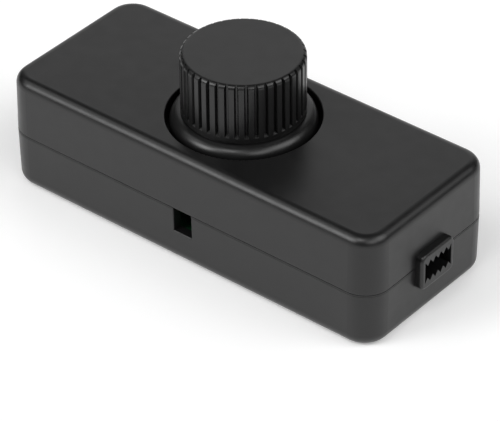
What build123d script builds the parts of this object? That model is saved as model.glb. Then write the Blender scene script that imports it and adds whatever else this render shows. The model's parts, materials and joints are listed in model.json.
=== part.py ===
from build123d import *
import math
import os

# Rotary dimmer for a lamp cord, a moulded two-part case with a fluted knob sunk in its top.
# Millimetres. The origin is the middle of the underside, +Z is up, X runs along the case
# from one cord outlet to the other, and -Y is the long side with the catch window.

# Case
LENGTH = 90.0
WIDTH = 37.25
HEIGHT = 24.85
SEAM_HEIGHT = 12.1
WALL = 2.0
FLOOR = 2.0
ROOF = 2.0
CORNER_RADIUS = 5.5
TOP_EDGE_RADIUS = 2.1
BOTTOM_EDGE_RADIUS = 2.5
DRAFT = 1.0  # degrees, both ways from the seam

# Seam between the halves
SEAM_ROUND = 0.5
REVEAL_HEIGHT = 0.2
REVEAL_DEPTH = 0.3
TONGUE_THICKNESS = 0.8
TONGUE_HEIGHT = 1.0
TONGUE_CLEARANCE = 0.1
TONGUE_ROOT = 0.5  # of the tongue inside the lower wall

# Catch window in the front wall
WINDOW_WIDTH = 4.4
WINDOW_HEIGHT = 5.1
WINDOW_ROUND = 0.2

# Cord outlets
OUTLET_HEIGHT = 11.15
OUTLET_TEETH = 5
TOOTH_PITCH = 1.6
TOOTH_DEPTH = 1.05
OPENING_HEIGHT = 4.9
COLLAR_WIDTH = 10.0
COLLAR_HEIGHT = 7.8
COLLAR_RADIUS = 1.4
COLLAR_PROUD = 1.5
COLLAR_ROUND = 0.6

# Recess for the knob
RECESS_RADIUS = 15.1
RECESS_DEPTH = 4.4
RECESS_FLOOR = 1.8
RECESS_WALL = 1.8
RECESS_ROUND = 0.25

# Knob
KNOB_RADIUS = 12.05
KNOB_STAND = 14.2  # above the top of the case
KNOB_TOP_ROUND = 0.95
KNOB_ROOF = 2.0
KNOB_WALL = 1.9
SKIRT_RADIUS = 14.2
SKIRT_DOME = 2.1
SKIRT_SHOULDER = 1.2  # above the top of the case
SKIRT_WALL = 1.6
CREASE_HEIGHT = 0.3
CREASE_DEPTH = 0.25
FLUTE_COUNT = 40
FLUTE_WIDTH = 0.85  # at the mouth
FLUTE_BOTTOM_WIDTH = 0.3
FLUTE_DEPTH = 0.7
FLUTE_START = 2.7  # above the top of the case, half way down the run-out
FLUTE_RUNOUT = 0.4
FLUTE_PHASE = 6.2  # degrees
KNOB_FLOOR_GAP = 0.8
HUB_RADIUS = 4.6
HUB_GAP = 0.5
HUB_FIT = 0.02
RIB_COUNT = 6
RIB_THICKNESS = 1.0

# Potentiometer
TRAVEL = 300.0  # degrees from stop to stop
SHAFT_RADIUS = 3.0
SHAFT_FLAT_DEPTH = 1.5
SHAFT_RUNNING_GAP = 0.05
SHAFT_END_GAP = 1.0
SPIGOT_RADIUS = 2.2
BUSH_RADIUS = 3.5
BUSH_STAND = 0.9
BUSH_HOLE_GAP = 0.1
BUSH_CHAMFER = 0.2
POT_RADIUS = 8.2
POT_DEPTH = 7.4
POT_SHEET = 0.4
PLATE_THICKNESS = 1.2
KEY_LENGTH = 1.4
KEY_WIDTH = 2.4
KEY_THICKNESS = 1.0
KEY_DISTANCE = 6.6
KEY_GAP = 0.15
WAFER_THICKNESS = 1.2
WAFER_REACH = 10.4
WAFER_TONGUE_WIDTH = 13.4
WAFER_GAP = 0.1
TAG_PITCH = 5.0
TAG_WIDTH = 1.0
TAG_THICKNESS = 0.3
TAG_LENGTH = 2.4
RIVET_RADIUS = 0.7
CARRIER_RADIUS = 5.6
CARRIER_THICKNESS = 2.4
CARRIER_DROP = 0.7  # below the wafer
LUG_REACH = 7.4
STOP_ANGLE = 14.0  # degrees to each side of the stop's middle
STOP_GAP = 0.4  # degrees
STOP_REACH = 6.0
CONTACT_THICKNESS = 0.2
CONTACT_RADIUS = 4.8
CONTACT_WIDTH = 1.0
CONTACT_GAP = 0.05
FINGER_LENGTH = 4.3
CLIP_THICKNESS = 0.6
CLIP_RADIUS = 4.2
CLIP_GROOVE_RADIUS = 2.5
CLIP_GAP = 0.05
CLIP_MOUTH = 3.8
WASHER_RADIUS = 5.75
WASHER_THICKNESS = 0.5
NUT_ACROSS_FLATS = 10.0
NUT_HEIGHT = 2.0
NUT_CHAMFER = 0.4

# Case screws and the posts that take them
POST_INSET = 7.2
POST_RADIUS = 3.8
BOSS_RADIUS = 2.8
SCREW_RADIUS = 1.15
SCREW_LENGTH = 8.9  # under the head
SCREW_HEAD_RADIUS = 2.1
SCREW_HEAD_HEIGHT = 1.7
SCREW_HEAD_ROUND = 0.85
SCREW_HEAD_GAP = 0.4
SCREW_SEAT = 3.0  # of post between head and seam
SCREW_GAP = 0.2
SCREW_TIP = 1.6
SCREW_TIP_RADIUS = 0.3
THREAD_GAP = 0.02
PILOT_SPARE = 1.0
CROSS_WIDTH = 0.5
CROSS_SPAN = 2.4
CROSS_DEPTH = 0.9

# Circuit board
BOARD_THICKNESS = 1.6
BOARD_GAP = 0.5
STANDOFF_HEIGHT = 1.6
STANDOFF_RADIUS = 2.5
STANDOFF_X = 22.0
STANDOFF_INSET = 3.2
BOARD_SCREW_RADIUS = 0.9
BOARD_SCREW_BITE = 2.6
BOARD_SCREW_HEAD_RADIUS = 1.8
BOARD_SCREW_HEAD_HEIGHT = 1.2
LEAD_RADIUS = 0.35
LEAD_GAP = 0.15
LEAD_STUB = 0.8  # below the board

# Terminal blocks
TERMINAL_PITCH = 5.1
TERMINAL_DEPTH = 7.6
TERMINAL_HEIGHT = 9.5
TERMINAL_EDGE_GAP = 0.6
CLAMP_WIDTH = 3.8
CLAMP_DEPTH = 4.6
CLAMP_HEIGHT = 5.6
CLAMP_WALL = 0.7
CLAMP_GAP = 0.1
CLAMP_FLOOR = 0.7
CLAMP_SCREW_RADIUS = 1.1
CLAMP_SCREW_LENGTH = 2.0
CLAMP_HEAD_RADIUS = 1.7
CLAMP_HEAD_HEIGHT = 1.2
CLAMP_HEAD_GAP = 0.2
CLAMP_SLOT = 0.5
TERMINAL_CHAMFER = 0.7

# Triac on its cooling plate
SINK_X = -25.5
SINK_Y = -3.0
SINK_THICKNESS = 1.5
SINK_WIDTH = 20.0
SINK_HEIGHT = 13.0
SINK_FOOT = 1.6  # from the plate's end to a foot
SINK_CHAMFER = 1.6
TRIAC_WIDTH = 8.0
TRIAC_THICKNESS = 2.8
TRIAC_HEIGHT = 10.5
TRIAC_LIFT = 1.6
TRIAC_CHAMFER = 0.75
TRIAC_LEAD_PITCH = 2.3
TRIAC_HOLE_DROP = 3.4  # below the top of the body
TRIAC_SCREW_RADIUS = 1.25
TRIAC_SCREW_HEAD_RADIUS = 2.3
TRIAC_SCREW_HEAD_HEIGHT = 1.5
TRIAC_SCREW_END = 0.5  # past the nut
TRIAC_NUT_ACROSS_FLATS = 5.0
TRIAC_NUT_HEIGHT = 2.0

# Other parts on the board
FUSE_X = -15.5
FUSE_RADIUS = 4.1
FUSE_HEIGHT = 7.8
FUSE_ROUND = 0.6
FUSE_PITCH = 5.08
CHOKE_X = 17.0
CHOKE_RADIUS = 5.0
CHOKE_HEIGHT = 9.5
CHOKE_FLANGE = 1.2
CHOKE_CORE_RADIUS = 2.4
WINDING_RADIUS = 4.4
CHOKE_PITCH = 5.08
SUPPRESSOR_X = 27.0
SUPPRESSOR_SIZE = (5.0, 13.0, 10.5)
SUPPRESSOR_PITCH = 10.0
TIMING_X = -14.0
TIMING_SIZE = (2.5, 7.2, 6.5)
TIMING_PITCH = 5.08
CAPACITOR_ROUND = 0.4
EDGE_ROOM = 1.2  # from a part to the board's long edge
RESISTOR_RADIUS = 1.2
RESISTOR_LENGTH = 6.4
RESISTOR_PITCH = 10.16
RESISTOR_ROWS = (-9.0, -5.0)
DIAC_RADIUS = 0.95
DIAC_LENGTH = 4.0
DIAC_PITCH = 7.62
DIAC_Y = 3.0

# Levels and places that follow from the sizes above
DRAFT_LOSS = SEAM_HEIGHT * math.tan(math.radians(DRAFT))
KNOB_TOP = HEIGHT + KNOB_STAND
RECESS_LEVEL = HEIGHT - RECESS_DEPTH
POT_TOP = RECESS_LEVEL - RECESS_FLOOR
PLATE_BOTTOM = POT_TOP - PLATE_THICKNESS
WAFER_BOTTOM = PLATE_BOTTOM - WAFER_THICKNESS
CARRIER_TOP = WAFER_BOTTOM - CARRIER_DROP
CARRIER_BOTTOM = CARRIER_TOP - CARRIER_THICKNESS
POT_BOTTOM = POT_TOP - POT_DEPTH
POT_INNER_RADIUS = POT_RADIUS - POT_SHEET
NUT_BOTTOM = RECESS_LEVEL + WASHER_THICKNESS
BUSH_TOP = NUT_BOTTOM + NUT_HEIGHT + BUSH_STAND
CLIP_BOTTOM = BUSH_TOP + CLIP_GAP
HUB_BOTTOM = CLIP_BOTTOM + CLIP_THICKNESS + HUB_GAP
SHAFT_TOP = KNOB_TOP - KNOB_ROOF - SHAFT_END_GAP
POST_X = LENGTH / 2 - POST_INSET
POST_Y = WIDTH / 2 - POST_INSET
SCREW_SEAT_LEVEL = SEAM_HEIGHT - SCREW_SEAT
BOARD_BOTTOM = FLOOR + STANDOFF_HEIGHT
BOARD_TOP = BOARD_BOTTOM + BOARD_THICKNESS
BOARD_LENGTH = LENGTH - 2 * (WALL + BOARD_GAP + DRAFT_LOSS)
BOARD_WIDTH = WIDTH - 2 * (WALL + BOARD_GAP + DRAFT_LOSS)
STANDOFF_Y = BOARD_WIDTH / 2 - STANDOFF_INSET
TERMINAL_X = BOARD_LENGTH / 2 - TERMINAL_EDGE_GAP - TERMINAL_DEPTH / 2
CLAMP_BOTTOM = BOARD_TOP + CLAMP_FLOOR
CLAMP_TOP = CLAMP_BOTTOM + CLAMP_HEIGHT
TRIAC_X = SINK_X + (SINK_THICKNESS + TRIAC_THICKNESS) / 2
TRIAC_BOTTOM = BOARD_TOP + TRIAC_LIFT
TRIAC_HOLE_LEVEL = TRIAC_BOTTOM + TRIAC_HEIGHT - TRIAC_HOLE_DROP
FUSE_Y = EDGE_ROOM + FUSE_RADIUS - BOARD_WIDTH / 2
CHOKE_Y = BOARD_WIDTH / 2 - EDGE_ROOM - CHOKE_RADIUS
SUPPRESSOR_Y = EDGE_ROOM + STANDOFF_INSET + SUPPRESSOR_SIZE[1] / 2 - BOARD_WIDTH / 2
TIMING_Y = BOARD_WIDTH / 2 - EDGE_ROOM - STANDOFF_INSET - TIMING_SIZE[1] / 2
TAG_Y = WAFER_REACH + TAG_THICKNESS / 2
TAG_XS = (-TAG_PITCH, 0.0, TAG_PITCH)
BOARD_SCREW_PLACES = [(-STANDOFF_X, STANDOFF_Y), (STANDOFF_X, -STANDOFF_Y)]
PLAIN_STANDOFF_PLACES = [(-STANDOFF_X, -STANDOFF_Y), (STANDOFF_X, STANDOFF_Y)]
FUSE_LEADS = [(FUSE_X, FUSE_Y - FUSE_PITCH / 2), (FUSE_X, FUSE_Y + FUSE_PITCH / 2)]
CHOKE_LEADS = [(CHOKE_X - CHOKE_PITCH / 2, CHOKE_Y), (CHOKE_X + CHOKE_PITCH / 2, CHOKE_Y)]
SUPPRESSOR_LEADS = [
    (SUPPRESSOR_X, SUPPRESSOR_Y - SUPPRESSOR_PITCH / 2),
    (SUPPRESSOR_X, SUPPRESSOR_Y + SUPPRESSOR_PITCH / 2),
]
TIMING_LEADS = [(TIMING_X, TIMING_Y - TIMING_PITCH / 2), (TIMING_X, TIMING_Y + TIMING_PITCH / 2)]
TRIAC_LEADS = [(TRIAC_X, SINK_Y + step * TRIAC_LEAD_PITCH) for step in (-1, 0, 1)]
SINK_FEET = [(SINK_X, SINK_Y - SINK_WIDTH / 2 + SINK_FOOT), (SINK_X, SINK_Y + SINK_WIDTH / 2 - SINK_FOOT)]
RESISTOR_LEADS = [(side * RESISTOR_PITCH / 2, row) for row in RESISTOR_ROWS for side in (-1, 1)]
DIAC_LEADS = [(side * DIAC_PITCH / 2, DIAC_Y) for side in (-1, 1)]
TERMINAL_PINS = [
    (end * TERMINAL_X, side * TERMINAL_PITCH / 2) for end in (-1, 1) for side in (-1, 1)
]
TAG_PINS = [(x, TAG_Y) for x in TAG_XS]
POST_PLACES = [(x, y) for x in (-POST_X, POST_X) for y in (-POST_Y, POST_Y)]


def seam_outline(inset):
    """Rounded outline of the case at the seam, moved inwards by inset."""
    RectangleRounded(LENGTH - 2 * inset, WIDTH - 2 * inset, CORNER_RADIUS - inset)


def seam_gaps():
    """Stretches of the seam where tongue and rebate stop for the outlets and the window."""
    Rectangle(LENGTH, COLLAR_WIDTH, mode=Mode.SUBTRACT)
    with Locations((0, -WIDTH / 2)):
        Rectangle(WINDOW_WIDTH, 2 * (WALL + TONGUE_CLEARANCE), mode=Mode.SUBTRACT)


def outlet_collar(keep):
    """The half of the raised collar above or below the seam, at the +X end."""
    with BuildPart() as collar:
        with BuildSketch(Plane.YZ.offset(LENGTH / 2 - WALL / 2)):
            with Locations((0, OUTLET_HEIGHT)):
                RectangleRounded(COLLAR_WIDTH, COLLAR_HEIGHT, COLLAR_RADIUS)
        extrude(amount=WALL / 2 + COLLAR_PROUD)
        fillet(collar.faces().sort_by(Axis.X)[-1].edges(), COLLAR_ROUND)
        split(bisect_by=Plane.XY.offset(SEAM_HEIGHT), keep=keep)
    return collar.part


def outlet_opening():
    """Toothed cord opening at the +X end, as the shape that is cut away."""
    half_width = OUTLET_TEETH * TOOTH_PITCH / 2
    upper = []
    lower = []
    for step in range(2 * OUTLET_TEETH + 1):
        across = step * TOOTH_PITCH / 2 - half_width
        reach = OPENING_HEIGHT / 2 - TOOTH_DEPTH * (step % 2)
        upper.append((across, OUTLET_HEIGHT + reach))
        lower.append((across, OUTLET_HEIGHT - reach))
    with BuildPart() as opening:
        with BuildSketch(Plane.YZ.offset(LENGTH / 2 - 2 * WALL)):
            with BuildLine():
                Polyline(*upper, *reversed(lower), close=True)
            make_face()
        extrude(amount=2 * WALL + 2 * COLLAR_PROUD)
    return opening.part


def both_ends(shape, mode):
    """Put a shape made for the +X end at both ends."""
    with Locations(Location((0, 0, 0)), Location((0, 0, 0), (0, 0, 180))):
        add(shape, mode=mode)


def on_window_rim(edge):
    """Whether an edge of the lower half lies on the outer rim of the catch window."""
    middle = edge.center()
    beside = abs(middle.X) < WINDOW_WIDTH / 2 + WINDOW_ROUND
    outside = middle.Y < WALL / 2 - WIDTH / 2
    between = SEAM_HEIGHT - WINDOW_HEIGHT - WINDOW_ROUND < middle.Z < SEAM_HEIGHT - WINDOW_ROUND
    return beside and outside and between


def build_bottom_shell():
    """Lower half of the case: floor, walls, tongue, screw posts and board standoffs."""
    with BuildPart() as bottom_shell:
        with BuildSketch(Plane.XY.offset(SEAM_HEIGHT)):
            seam_outline(0)
        extrude(amount=-SEAM_HEIGHT, taper=DRAFT)
        fillet(bottom_shell.faces().sort_by(Axis.Z)[0].edges(), BOTTOM_EDGE_RADIUS)
        with BuildSketch(Plane.XY.offset(SEAM_HEIGHT)):
            seam_outline(WALL)
        extrude(amount=FLOOR - SEAM_HEIGHT, taper=DRAFT, mode=Mode.SUBTRACT)
        # Catch window, its outer rim rounded
        with BuildSketch(Plane.XY.offset(SEAM_HEIGHT - WINDOW_HEIGHT)):
            with Locations((0, -WIDTH / 2)):
                Rectangle(WINDOW_WIDTH, 2 * (WALL + DRAFT_LOSS))
        extrude(amount=WINDOW_HEIGHT, mode=Mode.SUBTRACT)
        fillet(bottom_shell.edges().filter_by(on_window_rim), WINDOW_ROUND)
        # Shadow groove under the seam
        with BuildSketch(Plane.XY.offset(SEAM_HEIGHT - REVEAL_HEIGHT)):
            seam_outline(-REVEAL_DEPTH)
            RectangleRounded(
                LENGTH - 2 * REVEAL_DEPTH,
                WIDTH - 2 * REVEAL_DEPTH,
                CORNER_RADIUS - REVEAL_DEPTH,
                mode=Mode.SUBTRACT,
            )
        extrude(amount=REVEAL_HEIGHT, mode=Mode.SUBTRACT)
        both_ends(outlet_collar(Keep.BOTTOM), Mode.ADD)
        # Tongue that centres the upper half
        with BuildSketch(Plane.XY.offset(SEAM_HEIGHT - TONGUE_ROOT)):
            seam_outline(WALL - TONGUE_THICKNESS)
            RectangleRounded(
                LENGTH - 2 * WALL,
                WIDTH - 2 * WALL,
                CORNER_RADIUS - WALL,
                mode=Mode.SUBTRACT,
            )
            seam_gaps()
        extrude(amount=TONGUE_ROOT + TONGUE_HEIGHT)
        # Posts for the case screws, with a pocket for each head
        with BuildSketch(Plane.XY.offset(FLOOR / 2)):
            with Locations(*POST_PLACES):
                Circle(POST_RADIUS)
        extrude(amount=SEAM_HEIGHT - FLOOR / 2)
        with BuildSketch():
            with Locations(*POST_PLACES):
                Circle(SCREW_HEAD_RADIUS + SCREW_HEAD_GAP)
        extrude(amount=SCREW_SEAT_LEVEL, mode=Mode.SUBTRACT)
        with BuildSketch():
            with Locations(*POST_PLACES):
                Circle(SCREW_RADIUS + SCREW_GAP)
        extrude(amount=SEAM_HEIGHT, mode=Mode.SUBTRACT)
        # Standoffs under the circuit board, two of them with a screw hole
        with BuildSketch(Plane.XY.offset(FLOOR / 2)):
            with Locations(*BOARD_SCREW_PLACES, *PLAIN_STANDOFF_PLACES):
                Circle(STANDOFF_RADIUS)
        extrude(amount=BOARD_BOTTOM - FLOOR / 2)
        with BuildSketch(Plane.XY.offset(BOARD_BOTTOM - BOARD_SCREW_BITE)):
            with Locations(*BOARD_SCREW_PLACES):
                Circle(BOARD_SCREW_RADIUS + THREAD_GAP)
        extrude(amount=BOARD_SCREW_BITE, mode=Mode.SUBTRACT)
        both_ends(outlet_opening(), Mode.SUBTRACT)
    return bottom_shell


def build_top_shell():
    """Upper half of the case: roof, walls, rebate, knob recess and screw bosses."""
    rise = HEIGHT - SEAM_HEIGHT
    with BuildPart() as top_shell:
        with BuildSketch(Plane.XY.offset(SEAM_HEIGHT)):
            seam_outline(0)
        extrude(amount=rise, taper=DRAFT)
        fillet(top_shell.faces().sort_by(Axis.Z)[-1].edges(), TOP_EDGE_RADIUS)
        fillet(top_shell.faces().sort_by(Axis.Z)[0].edges(), SEAM_ROUND)
        both_ends(outlet_collar(Keep.TOP), Mode.ADD)
        with BuildSketch(Plane.XY.offset(SEAM_HEIGHT)):
            seam_outline(WALL)
        extrude(amount=rise - ROOF, taper=DRAFT, mode=Mode.SUBTRACT)
        # Rebate round the lower half's tongue
        with BuildSketch(Plane.XY.offset(SEAM_HEIGHT)):
            seam_outline(WALL - TONGUE_THICKNESS - TONGUE_CLEARANCE)
            seam_gaps()
        extrude(amount=TONGUE_HEIGHT + TONGUE_CLEARANCE, mode=Mode.SUBTRACT)
        # Cup that the knob sinks into, joined to the long walls
        with BuildSketch(Plane.XY.offset(POT_TOP)):
            Circle(RECESS_RADIUS + RECESS_WALL)
            Rectangle(LENGTH, WIDTH - WALL, mode=Mode.INTERSECT)
        extrude(amount=HEIGHT - ROOF / 2 - POT_TOP)
        with BuildSketch(Plane.XY.offset(RECESS_LEVEL)):
            Circle(RECESS_RADIUS)
        extrude(amount=RECESS_DEPTH, mode=Mode.SUBTRACT)
        rim = top_shell.edges().filter_by(GeomType.CIRCLE).group_by(Axis.Z)[-1]
        fillet(rim.filter_by(lambda edge: abs(edge.radius - RECESS_RADIUS) < THREAD_GAP), RECESS_ROUND)
        # Holes for the potentiometer's bush and for its locating key
        with BuildSketch(Plane.XY.offset(POT_TOP)):
            Circle(BUSH_RADIUS + BUSH_HOLE_GAP)
            with Locations((KEY_DISTANCE, 0)):
                Rectangle(KEY_THICKNESS + 2 * KEY_GAP, KEY_WIDTH + 2 * KEY_GAP)
        extrude(amount=RECESS_FLOOR, mode=Mode.SUBTRACT)
        # Bosses that the case screws bite into
        with BuildSketch(Plane.XY.offset(SEAM_HEIGHT)):
            with Locations(*POST_PLACES):
                Circle(BOSS_RADIUS)
        extrude(amount=rise - ROOF / 2)
        with BuildSketch(Plane.XY.offset(SEAM_HEIGHT)):
            with Locations(*POST_PLACES):
                Circle(SCREW_RADIUS + THREAD_GAP)
        extrude(amount=SCREW_LENGTH - SCREW_SEAT + PILOT_SPARE, mode=Mode.SUBTRACT)
        both_ends(outlet_opening(), Mode.SUBTRACT)
    return top_shell


def build_knob():
    """Fluted knob with its domed skirt, hollow underneath, with a ribbed hub."""
    shoulder = HEIGHT + SKIRT_SHOULDER
    skirt_bottom = RECESS_LEVEL + KNOB_FLOOR_GAP
    ceiling = KNOB_TOP - KNOB_ROOF
    inside_step = shoulder - SKIRT_DOME
    with BuildPart() as knob:
        with BuildSketch(Plane.XZ):
            with BuildLine():
                Polyline(
                    (0, skirt_bottom),
                    (SKIRT_RADIUS, skirt_bottom),
                    (SKIRT_RADIUS, shoulder - SKIRT_DOME),
                )
                RadiusArc(
                    (SKIRT_RADIUS, shoulder - SKIRT_DOME),
                    (SKIRT_RADIUS - SKIRT_DOME, shoulder),
                    -SKIRT_DOME,
                )
                Polyline(
                    (SKIRT_RADIUS - SKIRT_DOME, shoulder),
                    (KNOB_RADIUS - CREASE_DEPTH, shoulder),
                    (KNOB_RADIUS - CREASE_DEPTH, shoulder + CREASE_HEIGHT),
                    (KNOB_RADIUS, shoulder + CREASE_HEIGHT),
                    (KNOB_RADIUS, KNOB_TOP - KNOB_TOP_ROUND),
                )
                RadiusArc(
                    (KNOB_RADIUS, KNOB_TOP - KNOB_TOP_ROUND),
                    (KNOB_RADIUS - KNOB_TOP_ROUND, KNOB_TOP),
                    -KNOB_TOP_ROUND,
                )
                Polyline(
                    (KNOB_RADIUS - KNOB_TOP_ROUND, KNOB_TOP),
                    (0, KNOB_TOP),
                    (0, skirt_bottom),
                )
            make_face()
        revolve(axis=Axis.Z)
        # Hollow under the skirt and inside the grip
        with BuildSketch(Plane.XY.offset(skirt_bottom)):
            Circle(SKIRT_RADIUS - SKIRT_WALL)
        extrude(amount=inside_step - skirt_bottom, mode=Mode.SUBTRACT)
        with BuildSketch(Plane.XY.offset(skirt_bottom)):
            Circle(KNOB_RADIUS - KNOB_WALL)
        extrude(amount=ceiling - skirt_bottom, mode=Mode.SUBTRACT)
        # Hub and ribs, with the hub's bore flattened to hold the shaft
        with BuildSketch(Plane.XY.offset(HUB_BOTTOM)):
            Circle(HUB_RADIUS)
        extrude(amount=ceiling + KNOB_ROOF / 2 - HUB_BOTTOM)
        with BuildSketch(Plane.XY.offset(inside_step + KNOB_WALL)):
            with PolarLocations(0, RIB_COUNT):
                Rectangle(KNOB_RADIUS - KNOB_WALL / 2, RIB_THICKNESS, align=(Align.MIN, Align.CENTER))
        extrude(amount=ceiling + KNOB_ROOF / 2 - inside_step - KNOB_WALL)
        with BuildSketch(Plane.XY.offset(HUB_BOTTOM)):
            shaft_section(HUB_FIT)
        extrude(amount=SHAFT_TOP + SHAFT_END_GAP / 2 - HUB_BOTTOM, mode=Mode.SUBTRACT)
        # Flutes, each running out in a short slope above the smooth band
        with PolarLocations(0, FLUTE_COUNT, start_angle=FLUTE_PHASE):
            add(flute(), mode=Mode.SUBTRACT)
    return knob


def flute():
    """Groove with sloping walls on the knob's +X side, as the shape that is cut away."""
    start = HEIGHT + FLUTE_START
    half_bottom = FLUTE_BOTTOM_WIDTH / 2
    half_outside = FLUTE_WIDTH - half_bottom
    with BuildPart() as groove:
        with BuildSketch(Plane.XY.offset(start - FLUTE_RUNOUT)):
            with BuildLine():
                Polyline(
                    (KNOB_RADIUS - FLUTE_DEPTH, -half_bottom),
                    (KNOB_RADIUS + FLUTE_DEPTH, -half_outside),
                    (KNOB_RADIUS + FLUTE_DEPTH, half_outside),
                    (KNOB_RADIUS - FLUTE_DEPTH, half_bottom),
                    close=True,
                )
            make_face()
        extrude(amount=KNOB_TOP - start + 2 * FLUTE_RUNOUT)
        run_out = Plane((KNOB_RADIUS - FLUTE_DEPTH / 2, 0, start), z_dir=(FLUTE_RUNOUT, 0, FLUTE_DEPTH))
        split(bisect_by=run_out, keep=Keep.TOP)
    return groove.part


def shaft_section(gap):
    """Round section with one flat, grown by gap all round."""
    Circle(SHAFT_RADIUS + gap)
    with Locations((SHAFT_RADIUS - SHAFT_FLAT_DEPTH + gap, 0)):
        Rectangle(
            2 * SHAFT_RADIUS,
            3 * SHAFT_RADIUS,
            align=(Align.MIN, Align.CENTER),
            mode=Mode.SUBTRACT,
        )


def build_pot_shaft():
    """Shaft from the wiper carrier up into the knob's hub."""
    with BuildPart() as pot_shaft:
        with BuildSketch(Plane.XY.offset(CARRIER_BOTTOM - POT_SHEET)):
            Circle(SPIGOT_RADIUS)
        extrude(amount=CARRIER_THICKNESS + POT_SHEET)
        with BuildSketch(Plane.XY.offset(CARRIER_TOP)):
            Circle(SHAFT_RADIUS)
        extrude(amount=HUB_BOTTOM - HUB_GAP / 2 - CARRIER_TOP)
        with BuildSketch(Plane.XY.offset(HUB_BOTTOM - HUB_GAP / 2)):
            shaft_section(0)
        extrude(amount=SHAFT_TOP - HUB_BOTTOM + HUB_GAP / 2)
        # Groove for the retaining clip
        with BuildSketch(Plane.XY.offset(CLIP_BOTTOM - CLIP_GAP / 2)):
            Circle(SHAFT_RADIUS + HUB_FIT)
            Circle(CLIP_GROOVE_RADIUS, mode=Mode.SUBTRACT)
        extrude(amount=CLIP_THICKNESS + CLIP_GAP, mode=Mode.SUBTRACT)
    return pot_shaft


def build_shaft_clip():
    """Open retaining clip in the shaft's groove, over the end of the bush."""
    with BuildPart() as shaft_clip:
        with BuildSketch(Plane.XY.offset(CLIP_BOTTOM)):
            Circle(CLIP_RADIUS)
            Circle(CLIP_GROOVE_RADIUS + HUB_FIT, mode=Mode.SUBTRACT)
            Rectangle(CLIP_RADIUS, CLIP_MOUTH, align=(Align.MAX, Align.CENTER), mode=Mode.SUBTRACT)
        extrude(amount=CLIP_THICKNESS)
    return shaft_clip


def build_pot_bush():
    """Threaded bush with its mounting plate and locating key."""
    with BuildPart() as pot_bush:
        with BuildSketch(Plane.XY.offset(PLATE_BOTTOM)):
            Circle(POT_RADIUS)
        extrude(amount=PLATE_THICKNESS)
        with BuildSketch(Plane.XY.offset(POT_TOP)):
            Circle(BUSH_RADIUS)
        extrude(amount=BUSH_TOP - POT_TOP)
        with BuildSketch(Plane.XY.offset(POT_TOP)):
            with Locations((KEY_DISTANCE, 0)):
                Rectangle(KEY_THICKNESS, KEY_WIDTH)
        extrude(amount=KEY_LENGTH)
        with BuildSketch(Plane.XY.offset(PLATE_BOTTOM)):
            Circle(SHAFT_RADIUS + SHAFT_RUNNING_GAP)
        extrude(amount=BUSH_TOP - PLATE_BOTTOM, mode=Mode.SUBTRACT)
        bush_end = pot_bush.edges().filter_by(GeomType.CIRCLE).group_by(Axis.Z)[-1].sort_by(SortBy.LENGTH)[-1]
        chamfer(bush_end, BUSH_CHAMFER)
    return pot_bush


def build_pot_case():
    """Pressed steel case under the plate, with the stop pressed inwards at the front."""
    with BuildPart() as pot_case:
        with BuildSketch(Plane.XY.offset(POT_BOTTOM)):
            Circle(POT_RADIUS)
        extrude(amount=PLATE_BOTTOM - POT_BOTTOM)
        fillet(pot_case.faces().sort_by(Axis.Z)[0].edges(), POT_SHEET)
        with BuildSketch(Plane.XY.offset(POT_BOTTOM + POT_SHEET)):
            Circle(POT_INNER_RADIUS)
        extrude(amount=PLATE_BOTTOM - POT_BOTTOM, mode=Mode.SUBTRACT)
        with BuildSketch(Plane.XY.offset(CARRIER_BOTTOM)):
            add(ring_sector(STOP_REACH, POT_RADIUS - POT_SHEET / 2, -90, STOP_ANGLE))
        extrude(amount=CARRIER_THICKNESS)
        # Mouth for the wafer's tongue
        with BuildSketch(Plane.XY.offset(WAFER_BOTTOM - TAG_THICKNESS)):
            with Locations((0, WAFER_REACH / 2)):
                Rectangle(WAFER_TONGUE_WIDTH + 2 * WAFER_GAP, WAFER_REACH)
        extrude(amount=WAFER_THICKNESS + TAG_THICKNESS, mode=Mode.SUBTRACT)
    return pot_case


def ring_sector(inner, outer, middle, half_angle):
    """Piece of a ring between two radii, to each side of the middle direction (degrees)."""
    first = middle - half_angle
    with BuildSketch() as sector:
        with BuildLine():
            CenterArc((0, 0), outer, first, 2 * half_angle)
            CenterArc((0, 0), inner, first, 2 * half_angle)
            for angle in (first, middle + half_angle):
                along = (math.cos(math.radians(angle)), math.sin(math.radians(angle)))
                Line((inner * along[0], inner * along[1]), (outer * along[0], outer * along[1]))
        make_face()
    return sector.sketch


def build_pot_wafer():
    """Insulating plate that carries the track, with a tongue for the solder tags."""
    with BuildPart() as pot_wafer:
        with BuildSketch(Plane.XY.offset(WAFER_BOTTOM)):
            Circle(POT_INNER_RADIUS - WAFER_GAP)
            Rectangle(WAFER_TONGUE_WIDTH, WAFER_REACH, align=(Align.CENTER, Align.MIN))
            Circle(SHAFT_RADIUS + 2 * WAFER_GAP, mode=Mode.SUBTRACT)
            with Locations(*[(x, WAFER_REACH - TAG_LENGTH / 2) for x in TAG_XS]):
                Circle(RIVET_RADIUS + THREAD_GAP, mode=Mode.SUBTRACT)
        extrude(amount=WAFER_THICKNESS)
    return pot_wafer


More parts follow.
